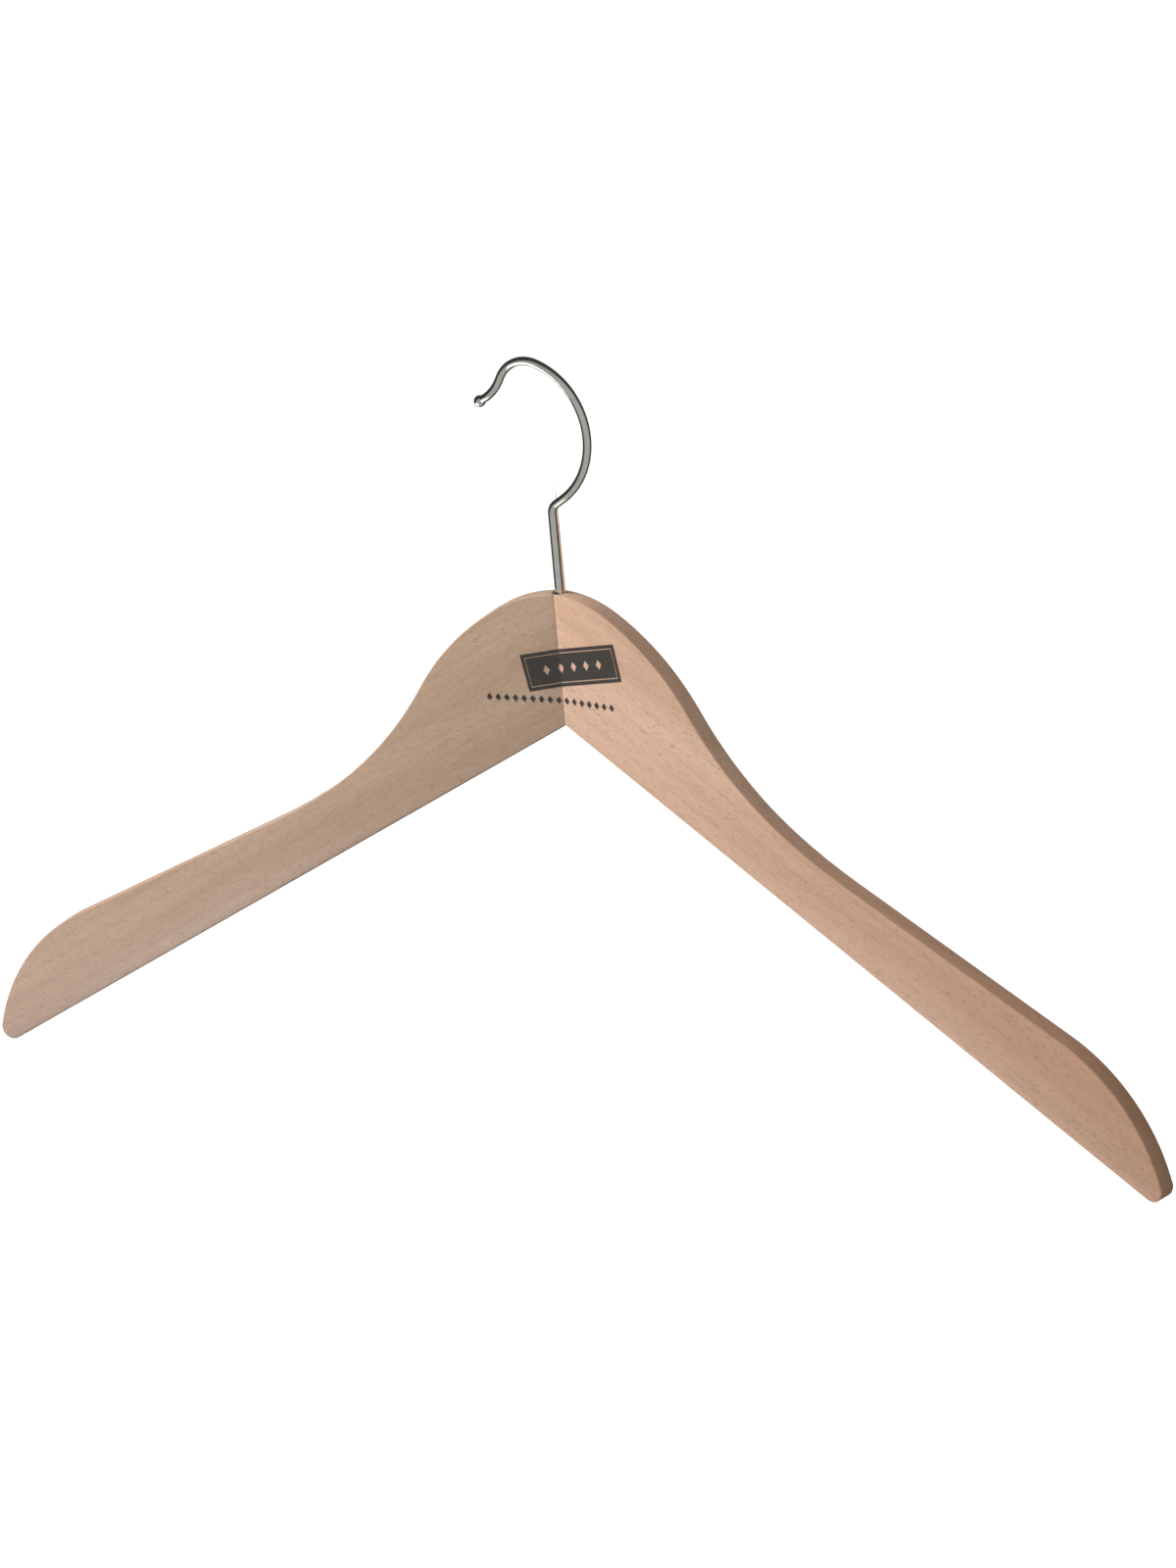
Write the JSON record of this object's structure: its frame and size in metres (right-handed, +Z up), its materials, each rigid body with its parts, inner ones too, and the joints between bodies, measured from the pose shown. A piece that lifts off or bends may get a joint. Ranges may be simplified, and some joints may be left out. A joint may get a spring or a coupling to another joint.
{
  "type": "wooden clothes hanger",
  "caption": "Curved wooden clothes hanger in two mitred halves, angled forward at the shoulders, with a swivelling plated wire hook that ends in a ball.",
  "frame": {"origin": "the highest point inside the hook's crown, where a rail bears", "axes": "+Z up along the hook's shank, +X across the shoulders towards the right-hand arm as seen from the front, +Y from the front to the back"},
  "size_m": [0.447, 0.0363, 0.2466],
  "materials": {
    "beech": "clear satin lacquer",
    "plated_wire": "bright nickel plate",
    "zinc": "zinc plate",
    "ink": "matte printing ink"
  },
  "bodies": {
    "hook": {"hook": "plated_wire"},
    "hanger": {"left_arm": "beech", "right_arm": "beech", "swivel_sleeve": "zinc", "print_panel": "ink", "print_row": "ink"}
  },
  "joints": [
    {"name": "hook_swivel", "type": "hinge", "parent": "hook", "child": "hanger", "pos_m": [0.0051, 0, -0.08261], "axis": [0, 0, 1], "continuous": true}
  ]
}
